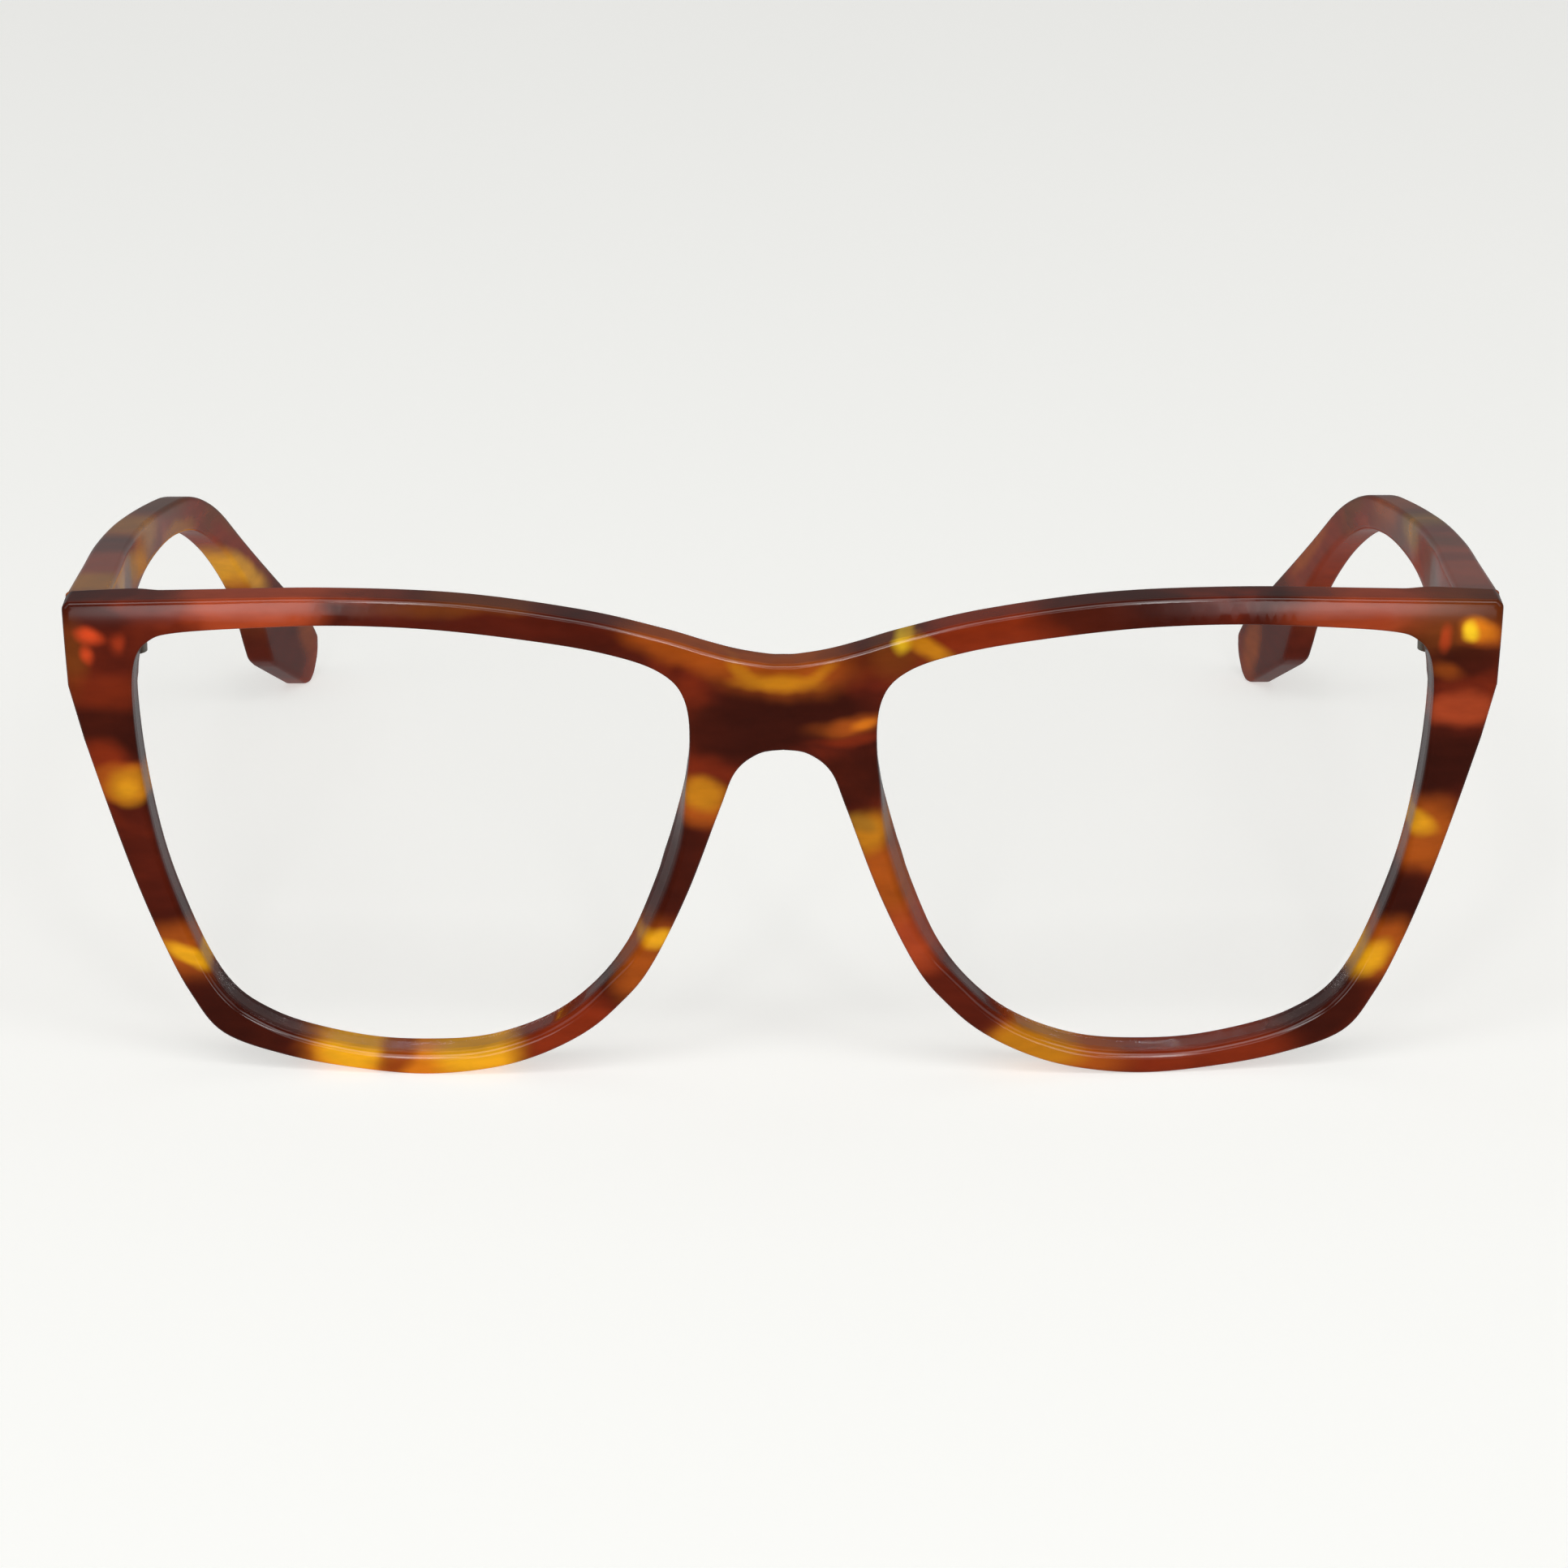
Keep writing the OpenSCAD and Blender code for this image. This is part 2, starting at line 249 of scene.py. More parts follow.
@dataclass
class Edge:
    """The rounding of a plate's edge at both faces, whose radius may differ along the outline."""

    near_radius: Depth
    far_radius: Depth
    arc_steps: int = 5

    def rings(self, loop: Points, near: Depth, far: Depth) -> list[tuple[Points, Points]]:
        """Lays the edge's rings.

        Args:
            loop: the outline, with the plate on its left.
            near: depth of the near face.
            far: depth of the far face.

        Returns:
            (places in the plane, depths) of each ring, from the near face to the far face.
        """
        rings = []
        angles = np.linspace(0, math.pi / 2, self.arc_steps + 1)
        radius = self.near_radius(loop)
        for a in angles:
            ring = moved_in(loop, radius * (1 - math.sin(a)))
            rings.append((ring, near(ring) + radius * (1 - math.cos(a))))
        radius = self.far_radius(loop)
        for a in angles[::-1]:
            ring = moved_in(loop, radius * (1 - math.sin(a)))
            rings.append((ring, far(ring) - radius * (1 - math.cos(a))))
        return rings


@dataclass
class Plate:
    """A plate of any outline between two curved faces, with rounded edges and openings.

    The outline and openings lie in a plane; near and far give the faces' depths over it.
    """

    outline: Points
    near: Depth
    far: Depth
    edge: Edge
    openings: tuple[Points, ...] = ()
    opening_edge: Edge | None = None
    grid: float = 0.9
    fine_areas: tuple[tuple[float, float, float, float], ...] = ()
    fine_grid: float = 0.3

    def grid_points(self, loops: list[Points]) -> Points:
        """Points that fill the face between its loops.

        Args:
            loops: the outline and then the openings.

        Returns:
            (n, 2) places, clear of the loops.
        """
        low, high = loops[0].min(axis=0), loops[0].max(axis=0)
        u, v = np.meshgrid(*(np.arange(low[k], high[k], self.grid) for k in (0, 1)))
        u[::2] += self.grid / 2
        sets = [np.stack([u.ravel(), v.ravel()], axis=1)]
        for u0, v0, u1, v1 in self.fine_areas:
            coarse = sets[0]
            hit = (coarse[:, 0] > u0) & (coarse[:, 0] < u1) & (coarse[:, 1] > v0)
            sets[0] = coarse[~(hit & (coarse[:, 1] < v1))]
            u, v = np.meshgrid(np.arange(u0, u1, self.fine_grid), np.arange(v0, v1, self.fine_grid))
            sets.append(np.stack([u.ravel(), v.ravel()], axis=1))
        points = np.vstack(sets)
        keep = inside(points, loops[0])
        for hole in loops[1:]:
            keep &= ~inside(points, hole)
        points = points[keep]
        border = np.vstack(loops)
        near_to = np.array([np.min(np.sum((border - p) ** 2, axis=1)) for p in points])
        # Kept clear of the loops by the height of a fine triangle
        return points[near_to > 3 * (self.fine_grid / 2) ** 2]

    def face(self, loops: list[Points]) -> tuple[Points, list[tuple[int, int, int]]]:
        """Fills the space between loops with triangles.

        Args:
            loops: the outline and then the openings.

        Returns:
            The inner points, and triangles that number the loops' points first.
        """
        inner = self.grid_points(loops)
        edges, start = [], 0
        for loop in loops:
            n = len(loop)
            edges += [(start + i, start + (i + 1) % n) for i in range(n)]
            start += n
        places = np.vstack([*loops, inner])
        _, _, faces, sources, _, _ = delaunay_2d_cdt(
            [Vector(p) for p in places], edges, [], 1, 1e-7)
        triangles = np.array([[sources[i][0] for i in f] for f in faces])
        middles = places[triangles].mean(axis=1)
        keep = inside(middles, loops[0])
        for hole in loops[1:]:
            keep &= ~inside(middles, hole)
        return inner, [tuple(int(i) for i in t) for t in triangles[keep]]

    def build(self, name: str, place: Callable[[Points, Points], Points],
              flip: bool) -> Piece:
        """Makes the plate's mesh.

        Args:
            name: the piece's name.
            place: turns plane places and depths into (n, 3) millimetres in the row frame.
            flip: whether faces are turned over so that they look outwards.

        Returns:
            The new object.
        """
        loops = [self.outline, *(hole[::-1] for hole in self.openings)]
        kinds = [self.edge, *([self.opening_edge] * len(self.openings))]
        all_rings = [k.rings(loop, self.near, self.far) for k, loop in zip(kinds, loops)]
        verts, faces, count = [], [], 0
        ends: list[list[int]] = [[], []]
        for rings in all_rings:
            n = len(rings[0][0])
            for k, (ring, depth) in enumerate(rings):
                verts.append(place(ring, depth))
                if k:
                    a, b = count + (k - 1) * n, count + k * n
                    faces += [(a + i, b + i, b + (i + 1) % n, a + (i + 1) % n) for i in range(n)]
            ends[0] += range(count, count + n)
            ends[1] += range(count + (len(rings) - 1) * n, count + len(rings) * n)
            count += len(rings) * n
        for which, surface in ((0, self.near), (1, self.far)):
            borders = [rings[-which][0] for rings in all_rings]
            inner, triangles = self.face(borders)
            number = ends[which] + list(range(count, count + len(inner)))
            verts.append(place(inner, surface(inner)))
            count += len(inner)
            order = (0, 1, 2) if which == 0 else (2, 1, 0)
            faces += [tuple(number[t[k]] for k in order) for t in triangles]
        if flip:
            faces = [f[::-1] for f in faces]
        return new_piece(name, np.vstack(verts) * MM, faces)


# ---------------------------------------------------------------- finishes


def linear(hex_colour: str) -> tuple[float, float, float, float]:
    """An sRGB hex colour as opaque linear RGBA."""
    parts = [int(hex_colour[i:i + 2], 16) / 255 for i in (1, 3, 5)]
    r, g, b = (c / 12.92 if c <= 0.04045 else ((c + 0.055) / 1.055) ** 2.4 for c in parts)
    return r, g, b, 1.0


def add(tree: bpy.types.NodeTree, kind: str, inputs: dict | None = None,
        **settings: object) -> bpy.types.Node:
    """Adds a shader node.

    Args:
        tree: the material's or world's nodes.
        kind: the node's type, without its ShaderNode prefix.
        inputs: for each socket, the value it holds, the output linked to it, or a node whose
            first output is linked to it.
        settings: the node's own properties.

    Returns:
        The new node.
    """
    node = tree.nodes.new(f"ShaderNode{kind}")
    for name, value in settings.items():
        setattr(node, name, value)
    for key, value in (inputs or {}).items():
        if isinstance(value, bpy.types.Node):
            value = value.outputs[0]
        if isinstance(value, bpy.types.NodeSocket):
            tree.links.new(value, node.inputs[key])
        else:
            node.inputs[key].default_value = value
    return node


def new_material(name: str) -> tuple[bpy.types.Material, bpy.types.NodeTree]:
    """An empty node material and its nodes."""
    material = bpy.data.materials.new(name)
    material.use_nodes = True
    material.node_tree.nodes.clear()
    return material, material.node_tree


class Tone(Enum):
    """The pigments that are swirled into the acetate, and the colours of the painted glints."""

    BARK = "#3a1006"
    CHESTNUT = "#57190a"
    UMBER = "#75380f"
    RUST = "#862b0c"
    SALMON = "#ad4420"
    ORANGE = "#a84e10"
    AMBER = "#e07c10"
    HONEY = "#c67c10"
    YELLOW = "#eea616"
    OLIVE = "#9c6a1c"
    # The last two paint the glints of the hinge metal in the end pieces; the bright yellow is also
    # a pigment on the brow.
    PAINTED_RED_GLINT = "#d8481c"
    BRIGHT_YELLOW_AND_GLINT = "#ffce20"


@dataclass(frozen=True)
class Patch:
    """A soft ellipse of one colour in the sheet: a cloud of pigment, a painted glint or a painted
    sheen.
    """

    tone: Tone
    centre: tuple[float, float]
    radii: tuple[float, float]
    turn_deg: float = 0
    soft: float = 0.7
    strength: float = 1.0


@dataclass(frozen=True)
class TortoiseAcetate:
    """Cellulose acetate cut from a block of swirled pigments, tumbled and buffed to a gloss.

    The eye sees clear depth under a hard polish: smoky clouds of brown, rust and honey with soft
    borders, crisp highlights on the rounded edges, and a slight unevenness left by the buffing.
    """

    name: str
    patches: tuple[Patch, ...]
    across: str = "X"
    seed: float = 0.0
    ior: float = 1.48
    roughness: float = 0.13
    roughness_spread: float = 0.2
    # The block's clouds are about 13 mm across, and its stirring shifts them by about 1 mm.
    swirl_mm: float = 13.0
    drift_mm: float = 5.5
    warp_mm: float = 1.1
    # Fine streaks run along the sheet and lighten or darken it a little.
    streak_mm: float = 1.6
    streak_stretch: tuple[float, float, float] = (0.35, 1, 0.6)
    streak_shades: tuple[float, float] = (0.86, 1.12)
    # Buffing waves are about 2.5 mm long and a few micrometres high.
    wave_mm: float = 2.5
    wave_height_mm: float = 0.0015
    ground: tuple[Tone, Tone, Tone] = (Tone.BARK, Tone.CHESTNUT, Tone.RUST)
    ground_stops: tuple[float, float, float] = (0.35, 0.52, 0.68)

    def material(self) -> bpy.types.Material:
        """Builds the acetate's nodes."""
        material, tree = new_material(self.name)
        where = add(tree, "TexCoord").outputs["Object"]
        mm = add(tree, "VectorMath", {0: where, "Scale": 1 / MM}, operation="SCALE")
        apart = add(tree, "SeparateXYZ", {0: mm}).outputs
        u, v, w = apart[self.across], apart["Z"], apart["Y" if self.across == "X" else "X"]
        sheet = add(tree, "CombineXYZ", {0: u, 1: v})
        solid = add(tree, "CombineXYZ", {0: u, 1: v, 2: w})
        drift = add(tree, "TexNoise", {
            "Vector": solid, "W": self.seed, "Scale": 1 / self.drift_mm, "Detail": 2},
            noise_dimensions="4D")
        centred = add(tree, "VectorMath", {
            0: drift.outputs["Color"], 1: (0.5, 0.5, 0.5)}, operation="SUBTRACT")
        push = add(tree, "VectorMath", {0: centred, "Scale": 2 * self.warp_mm}, operation="SCALE")
        warped = add(tree, "VectorMath", {0: sheet, 1: push}, operation="ADD")
        swirl = add(tree, "TexNoise", {
            "Vector": solid, "W": self.seed + 3, "Scale": 1 / self.swirl_mm, "Detail": 3,
            "Distortion": 0.6}, noise_dimensions="4D")
        colour = add(tree, "ValToRGB", {"Fac": swirl})
        stops = colour.color_ramp.elements
        stops[0].position, stops[1].position = self.ground_stops[0], self.ground_stops[2]
        stops.new(self.ground_stops[1])
        for stop, tone in zip(stops, self.ground):
            stop.color = linear(tone.value)
        # Patches mix in clouds of pigment, and also the painted glints at the end pieces and the
        # painted sheen at the brow ends.
        for patch in self.patches:
            mapped = add(tree, "Mapping", {
                "Vector": warped, "Location": (*patch.centre, 0),
                "Rotation": (0, 0, math.radians(patch.turn_deg)),
                "Scale": (*patch.radii, 1)}, vector_type="TEXTURE")
            reach = add(tree, "VectorMath", {0: mapped}, operation="LENGTH")
            mask = add(tree, "MapRange", {
                "Value": reach.outputs["Value"], "From Min": 1 + patch.soft / 2,
                "From Max": 1 - patch.soft / 2, "To Min": 0, "To Max": patch.strength},
                interpolation_type="SMOOTHSTEP")
            mix = add(tree, "Mix", {
                0: mask, MIX_A: colour, MIX_B: linear(patch.tone.value)}, data_type="RGBA")
            colour = mix.outputs[MIX_COLOUR]
        streak_place = add(tree, "Mapping", {"Vector": solid, "Scale": self.streak_stretch})
        streaks = add(tree, "TexNoise", {
            "Vector": streak_place, "Scale": 1 / self.streak_mm, "Detail": 3})
        shade = add(tree, "MapRange", {
            "Value": streaks, "From Min": 0.3, "From Max": 0.7,
            "To Min": self.streak_shades[0], "To Max": self.streak_shades[1]})
        final = add(tree, "VectorMath", {0: colour, "Scale": shade}, operation="SCALE")
        waves = add(tree, "TexNoise", {"Vector": solid, "Scale": 1 / self.wave_mm, "Detail": 2})
        bump = add(tree, "Bump", {
            "Height": waves, "Strength": 1.0, "Distance": self.wave_height_mm * MM})
        gloss = add(tree, "MapRange", {
            "Value": waves, "To Min": self.roughness * (1 - self.roughness_spread),
            "To Max": self.roughness * (1 + self.roughness_spread)})
        body = add(tree, "BsdfPrincipled", {
            "Base Color": final, "Roughness": gloss, "IOR": self.ior, "Normal": bump})
        add(tree, "OutputMaterial", {"Surface": body})
        return material


@dataclass(frozen=True)
class DemoLens:
    """Cast clear acrylic, polished and uncoated.

    The eye looks straight through it, and at a slant it shows a faint, slightly smeared mirror.
    """

    name: str = "cast_clear_acrylic"
    ior: float = 1.49
    tint: str = "#ffffff"
    # Handling leaves faint smears about 9 mm across, which dull the polish unevenly.
    smear_mm: float = 9
    roughness: tuple[float, float] = (0.02, 0.06)

    def material(self) -> bpy.types.Material:
        """Builds the lens's nodes."""
        material, tree = new_material(self.name)
        where = add(tree, "TexCoord").outputs["Object"]
        smears = add(tree, "TexNoise", {
            "Vector": where, "Scale": 1 / (self.smear_mm * MM), "Detail": 3})
        dull = add(tree, "MapRange", {
            "Value": smears, "To Min": self.roughness[0], "To Max": self.roughness[1]})
        through = add(tree, "BsdfTransparent", {"Color": linear(self.tint)})
        shine = add(tree, "BsdfGlossy", {"Roughness": dull})
        slant = add(tree, "Fresnel", {"IOR": self.ior})
        # Only outward sides mirror, so that nothing is mirrored twice inside the lens.
        skin = add(tree, "NewGeometry")
        outward = add(tree, "Math", {0: 1.0, 1: skin.outputs["Backfacing"]}, operation="SUBTRACT")
        share = add(tree, "Math", {0: slant, 1: outward}, operation="MULTIPLY")
        mix = add(tree, "MixShader", {0: share, 1: through, 2: shine})
        add(tree, "OutputMaterial", {"Surface": mix})
        return material


@dataclass(frozen=True)
class BrushedMetal:
    """Drawn or milled metal with fine parallel tool marks.

    The eye sees a soft metallic sheen broken into fine lines.
    """

    name: str
    colour: str
    dark: str
    roughness: float
    roughness_spread: float = 0.3
    # Real marks are about 0.03 mm apart; they are drawn at 0.12 mm so that they show.
    mark_mm: float = 0.12
    mark_height_mm: float = 0.004
    # Handling and oxide shade the metal in clouds about 1.5 mm across.
    cloud_mm: float = 1.5

    def material(self) -> bpy.types.Material:
        """Builds the metal's nodes."""
        material, tree = new_material(self.name)
        where = add(tree, "TexCoord").outputs["Object"]
        along = add(tree, "Mapping", {"Vector": where, "Scale": (1, 0.08, 1)})
        marks = add(tree, "TexNoise", {
            "Vector": along, "Scale": 1 / (self.mark_mm * MM), "Detail": 2})
        cloud = add(tree, "TexNoise", {
            "Vector": where, "Scale": 1 / (self.cloud_mm * MM), "Detail": 3})
        tint = add(tree, "Mix", {
            0: cloud, MIX_A: linear(self.dark), MIX_B: linear(self.colour)}, data_type="RGBA")
        rough = add(tree, "MapRange", {
            "Value": marks, "To Min": self.roughness * (1 - self.roughness_spread),
            "To Max": self.roughness * (1 + self.roughness_spread)})
        bump = add(tree, "Bump", {"Height": marks, "Distance": self.mark_height_mm * MM})
        body = add(tree, "BsdfPrincipled", {
            "Base Color": tint.outputs[MIX_COLOUR], "Metallic": 1.0, "Roughness": rough,
            "Normal": bump})
        add(tree, "OutputMaterial", {"Surface": body})
        return material


NICKEL_SILVER = BrushedMetal("milled_nickel_silver", "#cdc8bb", "#a39d8f", 0.3)
SPRING_STEEL = BrushedMetal("drawn_spring_steel", "#b4b6b8", "#85888b", 0.26)


def dress(piece: Piece, material: bpy.types.Material) -> None:
    """Gives a piece one material and no other."""
    piece.data.materials.clear()
    piece.data.materials.append(material)


def settle(piece: Piece, body: str, slot: str, *nodes: str) -> None:
    """Rides a piece on its body and hides the CAD nodes that it stands for."""
    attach(piece, body)
    if nodes:
        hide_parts(*nodes)
    LOG.info("%s rides on %s, %d faces", piece.name, body, len(piece.data.polygons))


# ---------------------------------------------------------------- the front


@dataclass(frozen=True)
class NosePad:
    """A nose pad: a low dome on the back of the rim, which leans towards the lens."""

    middle: tuple[float, float] = (9.4, 24.5)
    half_length: float = 6
    half_width: float = 1.4
    height: float = 2.5
    dome_radius: float = 9
    crest: float = 1
    tilt_deg: float = 21
    lean_deg: float = 13
    sunk: float = 0.02
    # How full the sides and the ends stay towards the top, and how square the ends are
    side_fullness: float = 0.6
    end_fullness: float = 0.5
    squareness: float = 4
    rings: int = 10
    around: int = 72

    def build(self, side: Side, face_radius: float, thickness: float) -> Piece:
        """Builds the pad on the back of the front.

        Args:
            side: which pad.
            face_radius: radius of the front's face curve.
            thickness: the front's thickness.

        Returns:
            The pad object.
        """
        low, high = (np.array(c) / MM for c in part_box(f"nose_pad_{side.word}"))
        tilt, lean = math.radians(self.tilt_deg), math.tan(math.radians(self.lean_deg))
        radius = face_radius - thickness
        base = face_radius - math.sqrt(radius**2 - self.middle[0] ** 2)
        turn = self.middle[0] / radius
        verts, faces = [], []
        for k in range(self.rings + 1):
            rise = k / self.rings * math.pi / 2
            scale = math.cos(rise) ** self.side_fullness
            for i in range(self.around):
                a = 2 * math.pi * i / self.around
                u = self.half_width * scale * math.cos(a)
                v = (self.half_length - self.half_width) * math.tanh(
                    self.squareness * math.sin(a)) * scale**self.end_fullness
                v += self.half_width * scale * math.sin(a)
                level = self.dome_radius**2 - (u - self.crest) ** 2 - v * v
                drop = self.dome_radius - math.sqrt(level)
                h = (self.height - drop) * math.sin(rise)
                x = self.middle[0] + (u * math.cos(tilt) - v * math.sin(tilt)) * math.cos(turn)
                z = self.middle[1] + u * math.sin(tilt) + v * math.cos(tilt)
                y = base + (x - self.middle[0]) * math.sin(turn) + h - self.sunk
                verts.append([side.value * (x + lean * h), FRONT_LINE + y, z])
        for k in range(self.rings):
            for i in range(self.around):
                a, b, j = k * self.around, (k + 1) * self.around, (i + 1) % self.around
                faces.append((a + i, a + j, b + j, b + i))
        faces.append(tuple(range(self.around))[::-1])
        faces.append(tuple(self.rings * self.around + i for i in range(self.around)))
        if side is Side.LEFT:
            faces = [f[::-1] for f in faces]
        places = np.clip(np.array(verts), low, high)
        return new_piece(f"nose_pad_{side.word}_acetate", places * MM, faces)


@dataclass
class Front:
    """The one-piece acetate front, its lenses and nose pads."""

    thickness: float = 4.4
    face_radius: float = 630
    # The back thickens to a seat for each hinge, over a ramp that is wider at the brow
    seat_depth: float = 8.5
    seat_x: float = 61.5
    seat_z: float = 39.6
    seat_ramp: float = 0.8
    brow_ramp: float = 2.6
    brow_ramp_z: float = 46.8
    brow_ramp_rise: float = 1.6
    # Rounding of the edges: the openings' front edge is fine under the brow, full lower down
    corner_ease: float = 0.8
    outer_ease: float = 0.5
    opening_ease: float = 0.9
    brow_ease: float = 0.3
    brow_ease_z: float = 40
    brow_ease_fall: float = 12
    back_ease: float = 0.25
    # The walls turn with the face curve, except out at the filed sides of the end pieces
    wall_turn: float = 0.6
    filed_past: float = 5
    filed_ramp: float = 3
    brow_band: float = 5.5
    brow_lean: float = 0.5
    lens_thickness: float = 2
    lens_gap: float = 0.05
    lens_ease: float = 0.06
    outline_step: float = 0.6
    brow: tuple = ((0, 43.4), (1.5, 43.45), (4.5, 43.95), (7.5, 44.75), (12, 46.1), (20, 47.95),
                   (32, 49.5), (45, 49.8), (58, 49.3), (70.4, 48.7))
    end_piece: tuple = ((71, 48.1), (70.6, 40.1))
    rim: tuple = ((69.2, 34.6), (66.9, 27.1), (64.4, 19.5), (61.9, 13.1), (59.4, 8), (56.2, 3.9),
                  (50, 1.7), (43, 0.5), (36, 0), (29.5, 0.7), (24.5, 2.2), (19.8, 4.7),
                  (16.4, 7.7), (13.3, 11.6), (9.6, 19.3), (6.3, 28.3), (4.7, 32.3), (2.4, 34.2),
                  (0, 34.6))
    opening: tuple = ((44, 47), (35, 46.8), (26, 45.9), (18, 44.6), (12.3, 42.7), (9.7, 39.7),
                      (9.3, 34), (10.5, 26.8), (12.8, 19.1), (16.1, 12.2), (21.8, 6.3),
                      (28.9, 3.1), (36.3, 2.3), (43.6, 2.8), (51.5, 5), (56.7, 9.3), (61.1, 19.5),
                      (63.3, 29), (64.2, 38), (63.9, 42.8), (62.4, 45), (59.6, 45.9), (52, 46.6))
    # Beside the nose: height, nose side and lens side of the rim, and how far the wall slants
    nasal_rim: tuple = ((9, 15.4, 19.2, 0), (12.2, 13, 16.1, 0.5), (16, 11.2, 14.2, 0.9),
                        (20, 9.4, 12.5, 1), (24, 7.9, 11.3, 0.9), (28, 6.4, 10.2, 0.5),
                        (32, 4.9, 9.6, 0))
    slant_front: float = 1.1
    slant_back: float = 0.3
    slant_fade: float = 8
    pad: NosePad = NosePad()
    patches: tuple[Patch, ...] = ()
    brow_line: Points = field(init=False)

    def __post_init__(self) -> None:
        """Works out the brow's top line."""
        self.brow_line = smooth(self.brow, closed=False, per_span=12)

    def face_curve(self, p: Points) -> Points:
        """Depth of the curve around the face."""
        return self.face_radius - np.sqrt(self.face_radius**2 - p[:, 0] ** 2)

    def near(self, p: Points) -> Points:
        """Depth of the front face: the face curve, leaning back a little towards the brow."""
        top = np.interp(np.abs(p[:, 0]), *self.brow_line.T)
        rise = np.clip((self.brow_band - (top - p[:, 1])) / self.brow_band, 0, 1)
        return self.face_curve(p) + self.brow_lean * rise**2

    def far(self, p: Points) -> Points:
        """Depth of the back face, which thickens to a seat for each hinge."""
        radius = self.face_radius - self.thickness
        back = self.face_radius - np.sqrt(radius**2 - p[:, 0] ** 2)
        share = np.ones(len(p))
        brow = np.clip((p[:, 1] - self.brow_ramp_z) / self.brow_ramp_rise, 0, 1)
        for past, ramp in ((np.abs(p[:, 0]) - self.seat_x, self.seat_ramp + self.brow_ramp * brow),
                           (p[:, 1] - self.seat_z, self.seat_ramp)):
            share *= smoothstep(np.clip(past / ramp, 0, 1))
        return back + (self.seat_depth - back) * share

    def opening_radius(self, p: Points) -> Points:
        """Rounding of the openings' front edge: fine under the brow and full lower down."""
        share = np.clip((self.brow_ease_z - p[:, 1]) / self.brow_ease_fall, 0, 1)
        return self.brow_ease + (self.opening_ease - self.brow_ease) * share

    def nasal_slant(self, p: Points, behind: Points) -> Points:
        """How far the slanting walls beside the nose move a point in X.

        Args:
            p: front-view places.
            behind: depths behind the front's face curve.

        Returns:
            The moves, which fade out across the rim towards the nose and past the lens's edge.
        """
        heights, nose_side, lens_side, share = np.array(self.nasal_rim).T
        start, end = (np.interp(p[:, 1], heights, side) for side in (nose_side, lens_side))
        share = np.interp(p[:, 1], heights, share)
        across = np.abs(p[:, 0])
        reach = np.clip((across - start) / (end - start), 0, 1) * smoothstep(share)
        reach *= np.clip((end + self.slant_fade - across) / self.slant_fade, 0, 1)
        deep = np.clip(behind / self.thickness, 0, 1)
        slant = deep * self.slant_back - (1 - deep) * self.slant_front
        return np.sign(p[:, 0]) * reach * slant

    def place(self, p: Points, depth: Points) -> Points:
        """Turns front-view places and depths into the row frame, with the walls as they lean."""
        straight_from = self.seat_x + self.filed_past
        bent = np.clip((straight_from - np.abs(p[:, 0])) / self.filed_ramp, 0, 1)
        behind = depth - self.face_curve(p)
        x = p[:, 0] * (1 - self.wall_turn * bent * behind / self.face_radius)
        x += self.nasal_slant(p, behind)
        return np.stack([x, FRONT_LINE + depth, p[:, 1]], axis=1)

    def front_piece(self) -> Piece:
        """Builds the acetate front with its two openings, without the hidden lens grooves."""
        half = np.vstack([self.brow_line, self.end_piece, smooth(self.rim, closed=False)])
        outline = without_doubles(np.vstack([half, mirrored(half)]))
        outline = split(softened(anticlockwise(outline), self.corner_ease), self.outline_step)
        hole = split(anticlockwise(smooth(self.opening, closed=True)), self.outline_step)
        # The grid is fine over the hinge seats, whose ramps are narrow
        inner_x, outer_x, low_z, high_z = self.seat_x - 1.5, 72, self.seat_z - 1, 50
        plate = Plate(
            outline, self.near, self.far, Edge(even(self.outer_ease), even(self.outer_ease)),
            (hole, anticlockwise(mirrored(hole))),
            Edge(self.opening_radius, even(self.back_ease)),
            fine_areas=((inner_x, low_z, outer_x, high_z), (-outer_x, low_z, -inner_x, high_z)))
        return plate.build("acetate_front", self.place, flip=True)

    def lens_piece(self, side: Side) -> Piece:
        """Builds a lens, without the rib that is buried in the rim's groove.

        Args:
            side: which lens.

        Returns:
            The lens object.
        """
        start = (self.thickness - self.lens_thickness) / 2
        outline = anticlockwise(smooth(self.opening, closed=True))
        if side is Side.RIGHT:
            outline = anticlockwise(mirrored(outline))
        outline = moved_in(split(outline, 1.0), self.lens_gap)

        def face(inset: float) -> Depth:
            """A lens face at a depth behind the front's face curve."""
            radius = self.face_radius - inset
            return lambda p: self.face_radius - np.sqrt(radius**2 - p[:, 0] ** 2)

        edge = Edge(even(self.lens_ease), even(self.lens_ease), arc_steps=2)
        plate = Plate(outline, face(start), face(start + self.lens_thickness), edge, grid=2.5,
                      fine_grid=0.9)
        return plate.build(f"lens_{side.word}_acrylic", self.place, flip=True)

    def build(self) -> None:
        """Builds and dresses the front, the lenses and the pads."""
        acetate = TortoiseAcetate("tumbled_tortoise_acetate_front", self.patches).material()
        lens = DemoLens().material()
        piece = self.front_piece()
        dress(piece, acetate)
        settle(piece, "front", "acetate", "front")
        for side in Side:
            piece = self.lens_piece(side)
            # Clear acrylic takes almost no light away, so it casts no shadow.
            piece.visible_shadow = False
            dress(piece, lens)
            settle(piece, "front", "lens", f"lens_{side.word}")
            piece = self.pad.build(side, self.face_radius, self.thickness)
            dress(piece, acetate)
            settle(piece, "front", "acetate", f"nose_pad_{side.word}")


# ---------------------------------------------------------------- the temples


